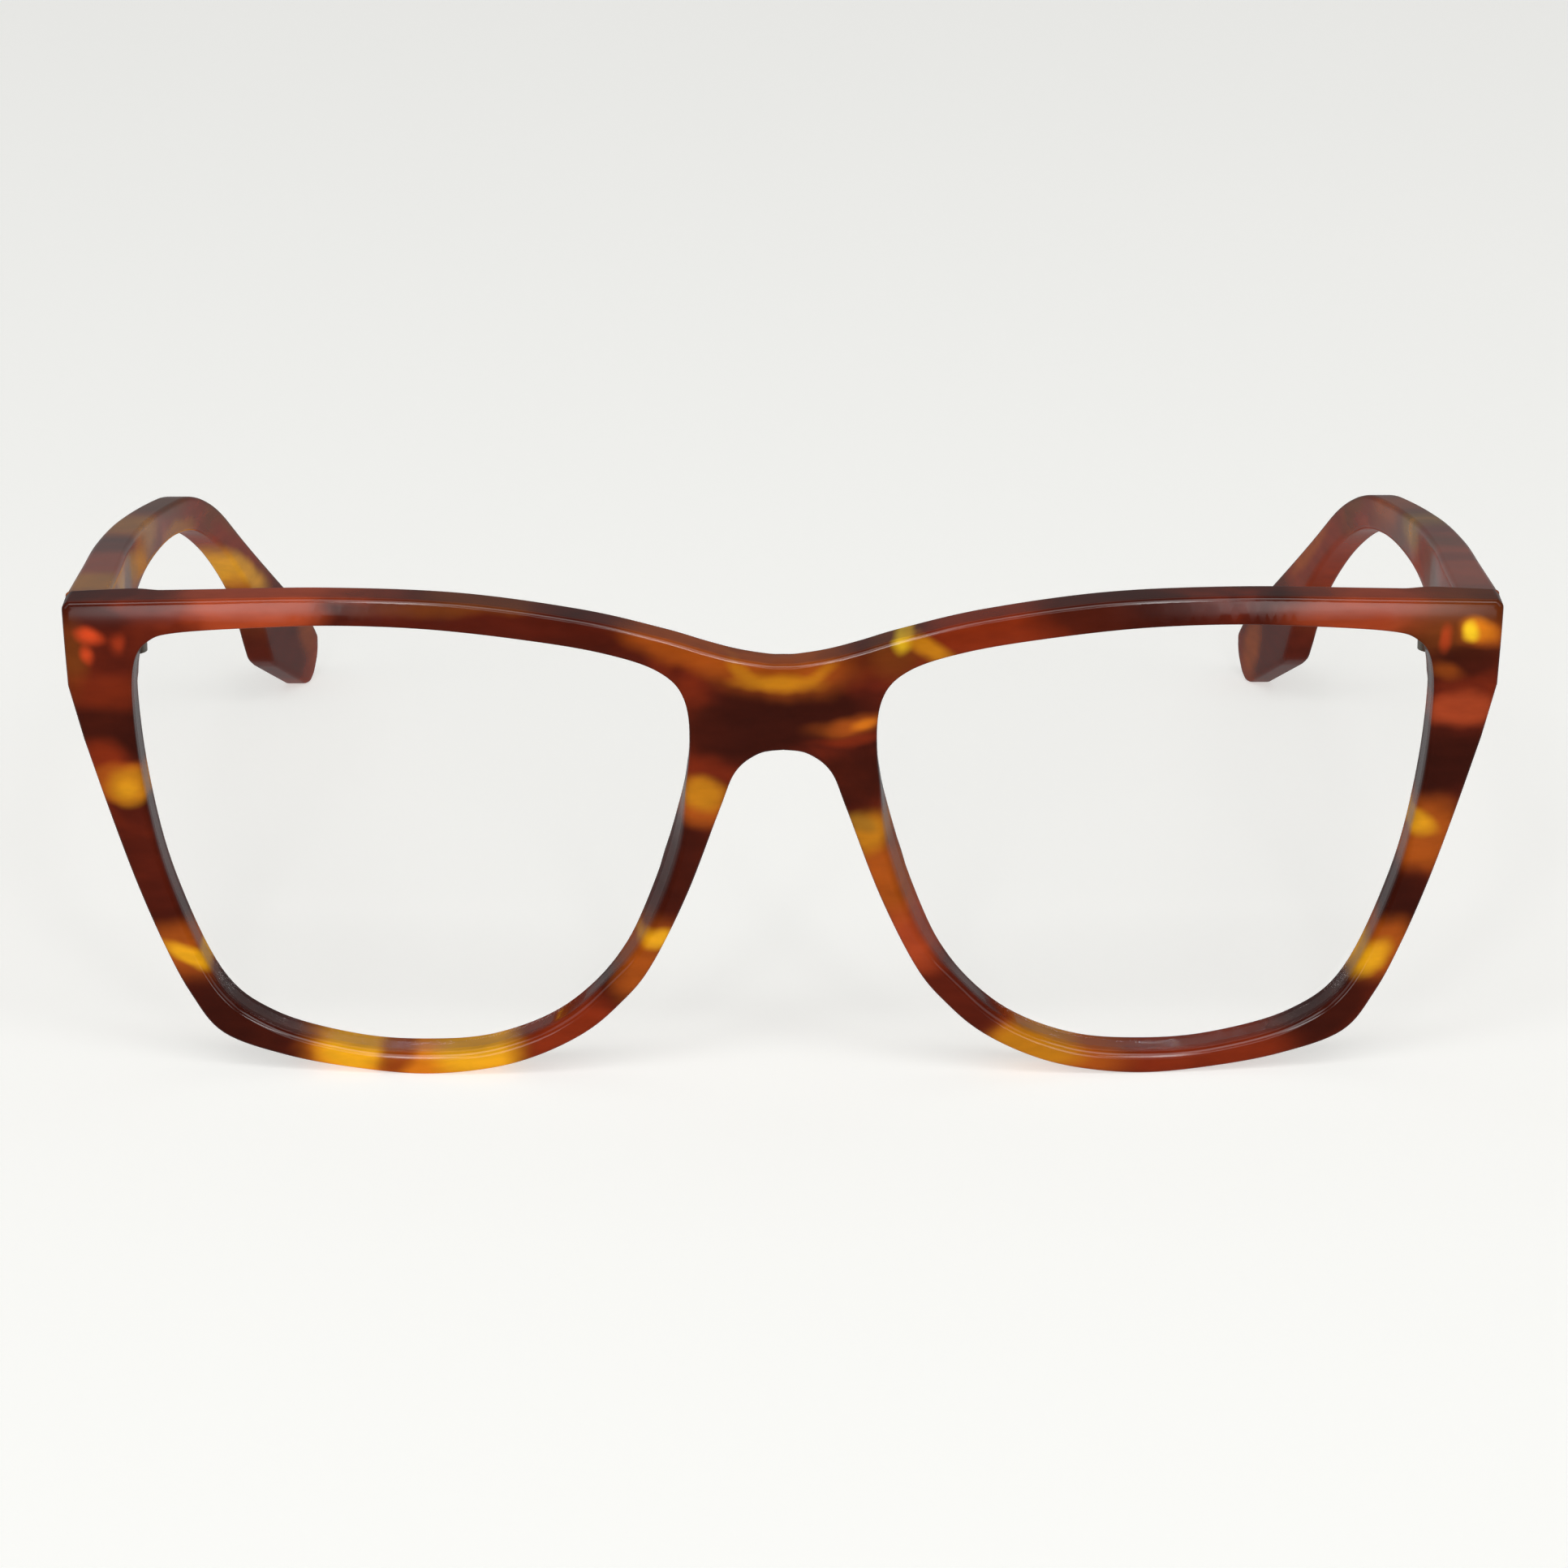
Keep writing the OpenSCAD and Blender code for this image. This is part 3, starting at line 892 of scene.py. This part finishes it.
@dataclass
class Temple:
    """One acetate temple: straight run, ear bend and angular tip."""

    side: Side
    patches: tuple[Patch, ...]
    half_width: float = 71
    butt_y: float = 8.55
    butt_z: float = 39.65
    corner_z: float = 48.4
    rear_y: float = 131.3
    slope_deg: float = 9.8
    run: float = 82
    bend_radius: float = 35
    bend_deg: float = 29
    tail: float = 29.4
    hinge_thickness: float = 4.3
    tip_thickness: float = 2.8
    # Rounding of the corners and long edges, almost none where the butt meets the front
    corner_ease: float = 0.7
    ease: float = 0.6
    butt_ease: float = 0.15
    butt_ramp: float = 1.5
    outline_step: float = 0.6
    bend_steps: int = 25
    tip_back: tuple = ((131.3, 5), (130.8, 2.6), (129.6, 0.7), (128.5, 0), (127.6, 0.1))
    tip_foot: tuple = ((118.7, 5.2), (117.2, 6.3))
    underside: tuple = ((116, 8.6), (114.3, 12), (111, 17.3), (104, 23.8), (96, 28.5), (87, 30.9),
                        (75, 32.4), (60, 33.5), (47, 34.1), (36, 35))
    plan: tuple = ((0, 8.55), (0.8, 30), (1.5, 50), (1.2, 70), (-0.9, 90), (-5.6, 109),
                   (-13, 131.5))
    outer_line: Points = field(init=False)
    inner_line: Points = field(init=False)

    def __post_init__(self) -> None:
        """Works out the plan curves of the outer and inner faces."""
        line = smooth(self.plan, closed=False, per_span=40) + (self.half_width, 0)
        along = np.gradient(line, axis=0)
        left = np.stack([-along[:, 1], along[:, 0]], axis=1)
        left /= np.linalg.norm(left, axis=1)[:, None]
        share = (line[:, 1] - self.butt_y) / (self.rear_y - self.butt_y)
        thickness = self.hinge_thickness + (self.tip_thickness - self.hinge_thickness) * share
        self.outer_line = line
        self.inner_line = line + left * thickness[:, None]

    def top_edge(self) -> list[tuple[float, float]]:
        """The straight run, the bend and the tail, seen from the side."""
        slope = math.radians(self.slope_deg)
        y = self.butt_y + self.run * math.cos(slope)
        z = self.corner_z - self.run * math.sin(slope)
        points = [(self.butt_y, self.corner_z)]
        end = slope + math.radians(self.bend_deg)
        for a in np.linspace(slope, end, self.bend_steps):
            points.append((y + self.bend_radius * (math.sin(a) - math.sin(slope)),
                           z - self.bend_radius * (math.cos(slope) - math.cos(a))))
        y, z = points[-1]
        points.append((y + self.tail * math.cos(end), z - self.tail * math.sin(end)))
        return points

    def build(self) -> None:
        """Builds and dresses the temple."""
        outline = np.vstack([self.top_edge(), self.tip_back, self.tip_foot,
                             smooth(self.underside, closed=False),
                             [(self.butt_y, self.butt_z)]])
        outline = anticlockwise(without_doubles(outline))
        outline = split(softened(outline, self.corner_ease), self.outline_step)

        def radius(p: Points) -> Points:
            """Rounding of the long edges."""
            share = np.clip((p[:, 0] - self.butt_y) / self.butt_ramp, 0, 1)
            return self.butt_ease + (self.ease - self.butt_ease) * share

        plate = Plate(
            outline,
            lambda p: np.interp(p[:, 0], self.inner_line[:, 1], self.inner_line[:, 0]),
            lambda p: np.interp(p[:, 0], self.outer_line[:, 1], self.outer_line[:, 0]),
            Edge(radius, radius))

        def place(p: Points, depth: Points) -> Points:
            """Turns side-view places and depths into the row frame."""
            return np.stack([self.side.value * depth, FRONT_LINE + p[:, 0], p[:, 1]], axis=1)

        word = self.side.word
        piece = plate.build(f"temple_{word}_acetate", place, flip=self.side is Side.LEFT)
        finish = TortoiseAcetate(f"tumbled_tortoise_acetate_temple_{word}", self.patches, "Y",
                                 seed=7.0 + self.side.value, warp_mm=0.7,
                                 ground=(Tone.UMBER, Tone.RUST, Tone.SALMON))
        dress(piece, finish.material())
        settle(piece, f"temple_{word}", "acetate", f"temple_{word}")


# ---------------------------------------------------------------- the hinges


@dataclass
class Hinges:
    """The metal parts that keep their CAD shapes: hinge leaves, screws, sprung sliders, cores."""

    milled: tuple[str, ...] = ("front_hinge", "hinge_slider", "spring_stop", "spring_box")
    drawn: tuple[str, ...] = ("hinge_screw", "hinge_spring", "temple_core")

    def build(self) -> None:
        """Dresses each metal node in the metal that it is made of."""
        for names, finish in ((self.milled, NICKEL_SILVER), (self.drawn, SPRING_STEEL)):
            material = finish.material()
            for name in names:
                for side in Side:
                    dress(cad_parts[f"{name}_{side.word}"], material)
                    LOG.info("%s_%s dressed in %s", name, side.word, finish.name)


# ---------------------------------------------------------------- the studio


@dataclass(frozen=True)
class Softbox:
    """A flat lamp aimed at the middle of the glasses, placed by angle and distance."""

    name: str
    azimuth: float
    elevation: float
    distance: float
    size: tuple[float, float]
    watts: float


@dataclass
class Studio:
    """The floor, the lamps, the surround and the camera."""

    boxes: tuple[Softbox, ...] = (
        Softbox("top_front", 0, 60, 1.2, (1.6, 0.5), 6.6),
        Softbox("strip_right", -12.5, 33, 1.2, (0.07, 0.5), 1.4),
        Softbox("strip_left", 12.5, 33, 1.2, (0.07, 0.5), 1.4),
        Softbox("low_right", -18, 6, 1.3, (0.2, 0.36), 0.7),
        Softbox("low_left", 18, 6, 1.3, (0.2, 0.36), 0.7),
        Softbox("side_right", -58, 28, 1.3, (0.6, 0.6), 1.0),
        Softbox("side_left", 58, 28, 1.3, (0.6, 0.6), 1.0),
        Softbox("fill_front", 0, 25, 1.6, (0.6, 0.3), 1.0),
        Softbox("back", 180, 60, 1.4, (1.6, 0.6), 1.0),
    )
    camera_place: tuple[float, float, float] = (-0.0027, -0.6330, 0.2265)
    camera_aim: tuple[float, float, float] = (0, -0.06565, 0.0312)
    lens_mm: float = 139.75
    sensor_mm: float = 36
    near_clip: float = 0.01
    shift: float = 0.0005
    # The surround's level before and behind the glasses, and how much the table adds below them
    surround_levels: tuple[float, float] = (0.04, 0.13)
    table_gain: float = 1.8

    def floor(self) -> None:
        """Builds the plain pale floor."""
        half = 6.0
        mesh = bpy.data.meshes.new("floor")
        mesh.from_pydata([(-half, -half, 0), (half, -half, 0), (half, half, 0), (-half, half, 0)],
                         [], [(0, 1, 2, 3)])
        floor = bpy.data.objects.new("floor", mesh)
        bpy.context.scene.collection.objects.link(floor)
        material, tree = new_material("matt_white_paper")
        paper = add(tree, "BsdfPrincipled", {
            "Base Color": linear("#c6c6c3"), "Roughness": 0.9, "Specular IOR Level": 0.0,
            "Emission Color": linear("#fefefb"), "Emission Strength": 0.6})
        add(tree, "OutputMaterial", {"Surface": paper})
        dress(floor, material)
        # The floor stays out of mirror reflections, as a table does under flagged lamps.
        floor.visible_glossy = False

    def surround(self) -> None:
        """Makes a white surround, which is darker behind the camera to keep the colours deep."""
        world = bpy.data.worlds.new("white_studio")
        bpy.context.scene.world = world
        world.use_nodes = True
        tree = world.node_tree
        tree.nodes.clear()
        where = add(tree, "TexCoord").outputs["Generated"]
        apart = add(tree, "SeparateXYZ", {0: where})
        level = add(tree, "MapRange", {
            "Value": apart.outputs["Y"], "From Min": -0.35, "From Max": 0.6,
            "To Min": self.surround_levels[0], "To Max": self.surround_levels[1]},
            interpolation_type="SMOOTHSTEP")
        # The table behind the glasses is bright, and the slanting walls mirror it.
        low = add(tree, "MapRange", {
            "Value": apart.outputs["Z"], "From Min": 0, "From Max": -0.25, "To Min": 1,
            "To Max": self.table_gain})
        level = add(tree, "Math", {0: level, 1: low}, operation="MULTIPLY")
        lit = add(tree, "Background", {"Color": linear("#ffffff"), "Strength": level})
        seen = add(tree, "Background", {"Color": linear("#fdfdfa")})
        ray = add(tree, "LightPath")
        mix = add(tree, "MixShader", {0: ray.outputs["Is Camera Ray"], 1: lit, 2: seen})
        add(tree, "OutputWorld", {"Surface": mix})

    def lamps(self) -> None:
        """Hangs the softboxes round the glasses."""
        aim = Vector(self.camera_aim)
        for box in self.boxes:
            lamp = bpy.data.lights.new(box.name, "AREA")
            lamp.shape = "RECTANGLE"
            lamp.size, lamp.size_y = box.size
            lamp.energy = box.watts
            turn, rise = math.radians(box.azimuth), math.radians(box.elevation)
            out = Vector((math.sin(turn) * math.cos(rise), -math.cos(turn) * math.cos(rise),
                          math.sin(rise)))
            holder = bpy.data.objects.new(box.name, lamp)
            holder.location = aim + out * box.distance
            holder.rotation_euler = out.to_track_quat("Z", "Y").to_euler()
            bpy.context.scene.collection.objects.link(holder)

    def camera(self) -> None:
        """Places the camera."""
        data = bpy.data.cameras.new("camera")
        data.lens, data.sensor_width = self.lens_mm, self.sensor_mm
        data.shift_x = self.shift
        data.clip_start = self.near_clip
        camera = bpy.data.objects.new("camera", data)
        camera.location = self.camera_place
        look = Vector(self.camera_place) - Vector(self.camera_aim)
        camera.rotation_euler = look.to_track_quat("Z", "Y").to_euler()
        bpy.context.scene.collection.objects.link(camera)
        bpy.context.scene.camera = camera

    def build(self) -> None:
        """Sets up everything that isn't part of the glasses."""
        self.camera()
        self.floor()
        self.surround()
        self.lamps()
        bpy.context.scene.view_settings.view_transform = "Standard"


BARK, CHESTNUT, UMBER, RUST, SALMON, ORANGE, AMBER, HONEY, YELLOW, OLIVE, PAINTED_RED_GLINT, BRIGHT_YELLOW_AND_GLINT = Tone

FRONT_PATCHES = (
    # Wearer's right, from the end piece down the rim to the nose and back along the brow
    Patch(BARK, (-66.5, 37), (5, 5.5), strength=0.8),
    Patch(BARK, (-68.5, 47.4), (4, 1.6), strength=0.9),
    Patch(CHESTNUT, (-67.2, 43.9), (5, 4), soft=1, strength=0.8),
    Patch(UMBER, (-70.3, 43), (1.6, 3.4), soft=1.2, strength=0.9),
    Patch(RUST, (-66.5, 39.6), (5, 1.8), soft=1.2, strength=0.6),
    # Painted glints: red glints of the hinge metal showing through the end piece.
    Patch(PAINTED_RED_GLINT, (-68.5, 45.5), (1.2, 0.8), -12, soft=1.6),
    Patch(PAINTED_RED_GLINT, (-68.7, 43.4), (0.6, 0.9), 15, soft=1.7, strength=0.8),
    Patch(PAINTED_RED_GLINT, (-65.6, 44.9), (0.7, 1), soft=1.7, strength=0.4),
    Patch(RUST, (-67.6, 32), (2.6, 2.2), soft=1),
    Patch(ORANGE, (-66.3, 30.1), (4.4, 1.9), 6, soft=0.6),
    Patch(HONEY, (-64.9, 29.8), (2.4, 1.7), 4, soft=0.8),
    Patch(YELLOW, (-65.2, 29.7), (1, 0.8), soft=1.2, strength=0.5),
    Patch(CHESTNUT, (-62.5, 20.5), (4, 4), soft=0.9, strength=0.7),
    Patch(ORANGE, (-59.6, 12.6), (4.2, 2.6), -15, soft=0.9),
    Patch(YELLOW, (-58.8, 12), (3.3, 0.9), -20, soft=0.9),
    Patch(BARK, (-54.5, 5.5), (6.5, 3.2), -40, strength=0.9),
    Patch(AMBER, (-37, 2.2), (10.5, 4.5), soft=0.5),
    Patch(YELLOW, (-43, 2.4), (3.4, 2), soft=1),
    Patch(YELLOW, (-30.8, 2.6), (4.4, 3), soft=1),
    Patch(RUST, (-38.6, 2.2), (1.5, 3.5), -14, soft=1.1, strength=0.8),
    Patch(RUST, (-21.3, 4.5), (5.5, 4.5), 25, soft=0.8),
    Patch(ORANGE, (-13, 12.2), (3.4, 4.4), -30, soft=0.9),
    Patch(YELLOW, (-12.1, 14.7), (2, 1), 5, soft=1.2),
    Patch(BARK, (-9.8, 22.2), (3.6, 5.2), strength=0.75),
    Patch(ORANGE, (-8, 28.9), (3.4, 2.2), soft=0.9),
    Patch(HONEY, (-7.9, 30.2), (2.2, 1.7), soft=1),
    Patch(BARK, (-4, 37), (7, 3.6), strength=0.9),
    Patch(ORANGE, (-10, 45), (6, 1.9), -22, soft=0.9, strength=0.8),
    Patch(CHESTNUT, (-31, 47.6), (13, 3.2), strength=0.9),
    Patch(UMBER, (-30, 49.2), (10, 0.9), 3, soft=1.2, strength=0.8),
    # Salmon at the brow end: partly lighter acetate, partly the brow's sheen painted in.
    Patch(SALMON, (-52, 48.3), (7, 2.8), soft=0.6),
    Patch(SALMON, (-50, 50), (10, 1), 1, soft=1.2),
    # Bridge
    Patch(BARK, (3, 38.6), (6, 3), strength=0.9),
    Patch(ORANGE, (0, 43), (6.6, 2.6), soft=1, strength=0.85),
    Patch(HONEY, (-0.6, 41.6), (3.6, 0.8), soft=1.4),
    Patch(HONEY, (-4, 42.6), (1.6, 0.6), -32, soft=1.5, strength=0.7),
    Patch(HONEY, (3.4, 42.4), (1.8, 0.6), 30, soft=1.5, strength=0.6),
    Patch(ORANGE, (7, 37.4), (3.4, 0.9), 7, soft=1.4, strength=0.9),
    Patch(AMBER, (8.2, 37.5), (1.2, 0.5), 7, soft=1.5, strength=0.6),
    Patch(RUST, (6.8, 35.9), (3, 0.5), 4, soft=1.5, strength=0.8),
    # Wearer's left, from the brow out to the end piece and down round the rim to the nose
    Patch(RUST, (20, 47), (6.5, 3), 12, soft=0.6),
    Patch(UMBER, (11, 44.6), (2.4, 2), soft=1.1, strength=0.8),
    Patch(BRIGHT_YELLOW_AND_GLINT, (11.6, 46.6), (0.9, 1.6), soft=1.1, strength=0.8),
    Patch(HONEY, (14.2, 45.1), (2.6, 0.9), -32, soft=1.2, strength=0.95),
    Patch(BARK, (33, 48.3), (8.5, 2.8), strength=0.8),
    # Salmon at the brow end: partly lighter acetate, partly the brow's sheen painted in.
    Patch(SALMON, (58, 48), (8, 2.6), soft=0.9, strength=0.8),
    Patch(UMBER, (66.5, 46.4), (5.4, 3.4), soft=1.1, strength=0.8),
    Patch(BARK, (67.4, 42.4), (4.4, 2), soft=0.9, strength=0.85),
    # Painted glints: the hinge metal glinting yellow, orange and red through the end piece.
    Patch(ORANGE, (69.3, 45.2), (2.3, 1.1), soft=1.2),
    Patch(AMBER, (68.6, 45.7), (1.7, 1), -10, soft=1.3),
    Patch(BRIGHT_YELLOW_AND_GLINT, (67.7, 45.5), (0.8, 0.8), soft=1.4),
    Patch(PAINTED_RED_GLINT, (65, 45), (0.6, 1.1), soft=1.5, strength=0.5),
    Patch(ORANGE, (65.4, 41.6), (1.6, 0.8), -25, soft=1.5, strength=0.6),
    Patch(SALMON, (66.8, 37.6), (4, 1.5), 4, soft=0.9, strength=0.9),
    Patch(BARK, (66, 32.4), (5, 3), strength=0.8),
    Patch(ORANGE, (63.8, 24.6), (4.4, 3.6), 10, soft=0.9),
    Patch(YELLOW, (62.8, 26), (2.2, 1), -25, soft=1, strength=0.8),
    Patch(BARK, (61.5, 18.2), (4.2, 3), strength=0.9),
    Patch(ORANGE, (59.3, 12.6), (4, 2.8), 35, soft=0.8),
    Patch(YELLOW, (58.3, 11.6), (2.6, 1.5), 40, soft=0.9),
    Patch(BARK, (53.5, 5.5), (6.5, 3), 35, strength=0.9),
    Patch(RUST, (42, 2), (9, 3.4), soft=0.9, strength=0.9),
    Patch(ORANGE, (27, 3), (7, 3), -10, soft=0.8),
    Patch(HONEY, (25, 3), (4.4, 1.8), -14, soft=0.9),
    Patch(CHESTNUT, (17, 8.3), (3.6, 5), 45, strength=0.9),
    Patch(SALMON, (12.6, 15.8), (3, 4), 22, soft=0.9, strength=0.9),
    Patch(ORANGE, (10.2, 21.6), (2.4, 4.6), 20, soft=1),
    Patch(HONEY, (8.4, 26), (2.4, 2), 20, soft=1, strength=0.9),
    Patch(OLIVE, (7.4, 27), (1.6, 0.9), -20, soft=1.2, strength=0.8),
    Patch(BARK, (6.9, 31.6), (3.4, 3.6), strength=0.8),
)

# Depths here are measured from the middle of the glasses, so -57 is at the hinge.
RIGHT_TEMPLE_PATCHES = (
    Patch(SALMON, (-34, 44.6), (19, 3), -10, soft=1),
    Patch(HONEY, (-49, 47), (7, 1.4), -10, soft=1.2),
    Patch(YELLOW, (-37, 41.6), (8, 2.2), -10, soft=1, strength=0.9),
    Patch(ORANGE, (-38, 38), (6, 2), soft=1, strength=0.8),
    Patch(CHESTNUT, (-20, 39.6), (9, 4), strength=0.7),
    Patch(HONEY, (-1, 37.6), (9, 2.6), -8, soft=1.1, strength=0.9),
    Patch(HONEY, (20, 31.6), (7, 1.3), -12, soft=1, strength=0.6),
    Patch(UMBER, (18, 36.4), (9, 2), -10, soft=0.9),
    Patch(RUST, (40, 22), (9, 5), -38, soft=0.9),
    Patch(YELLOW, (44, 19.8), (7, 1.2), -32, soft=1.2, strength=0.85),
    Patch(UMBER, (40, 27.6), (9, 1.6), -30, soft=1.1, strength=0.8),
    Patch(CHESTNUT, (57, 9), (9, 9), soft=0.8),
    Patch(ORANGE, (61, 10), (2.4, 6), 20, soft=1.1, strength=0.6),
)
LEFT_TEMPLE_PATCHES = (
    Patch(SALMON, (-34, 44.6), (19, 2.8), -10, soft=1),
    Patch(RUST, (-30, 44), (4, 2), -10, soft=1, strength=0.6),
    Patch(ORANGE, (-46, 41.4), (7, 3), -10, soft=0.9),
    Patch(HONEY, (-50, 42.4), (3, 1.6), -10, soft=1.2, strength=0.9),
    Patch(UMBER, (-20, 38), (9, 4)),
    Patch(OLIVE, (2, 37), (6, 2), -8, soft=1),
    Patch(HONEY, (3, 36.8), (1.6, 1.2), -8, soft=1.2, strength=0.9),
    Patch(ORANGE, (18, 35), (6, 2), -14, soft=1.1, strength=0.8),
    Patch(RUST, (40, 22), (8, 5), -38, soft=0.9),
    Patch(ORANGE, (45, 22), (6, 1.2), -40, soft=1.1, strength=0.8),
    Patch(CHESTNUT, (57, 9), (9, 9), soft=0.8),
    Patch(ORANGE, (61, 5), (2, 4), 24, soft=1.1, strength=0.7),
)


def main() -> None:
    """Builds the glasses and the studio, piece by piece."""
    logging.basicConfig(level=logging.INFO, format="%(name)s: %(message)s")
    Studio().build()
    Front(patches=FRONT_PATCHES).build()
    Temple(Side.RIGHT, RIGHT_TEMPLE_PATCHES).build()
    Temple(Side.LEFT, LEFT_TEMPLE_PATCHES).build()
    Hinges().build()


if __name__ == "__main__":
    main()
